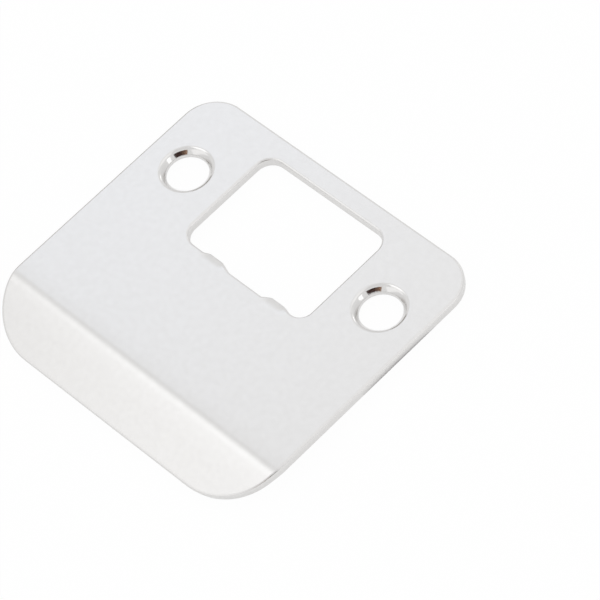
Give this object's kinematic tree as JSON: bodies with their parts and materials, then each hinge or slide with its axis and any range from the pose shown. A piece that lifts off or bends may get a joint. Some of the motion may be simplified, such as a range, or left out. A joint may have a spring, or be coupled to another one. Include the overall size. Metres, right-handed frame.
{
  "type": "door strike plate",
  "caption": "Folded metal strike plate with a latch opening, a turned-back lip with large rounded corners, and countersunk screw holes.",
  "frame": {"origin": "midway between the two screw holes, on the back face that lies against the door jamb", "axes": "+X up the jamb along the bend, +Y from the lip towards the far edge, +Z out of the front face"},
  "size_m": [0.0572, 0.0522, 0.005],
  "materials": {
    "satin_nickel": "pressed steel with satin nickel plate, smooth with a very fine even grain"
  },
  "bodies": {
    "root": {"strike_plate": "satin_nickel"}
  },
  "joints": []
}
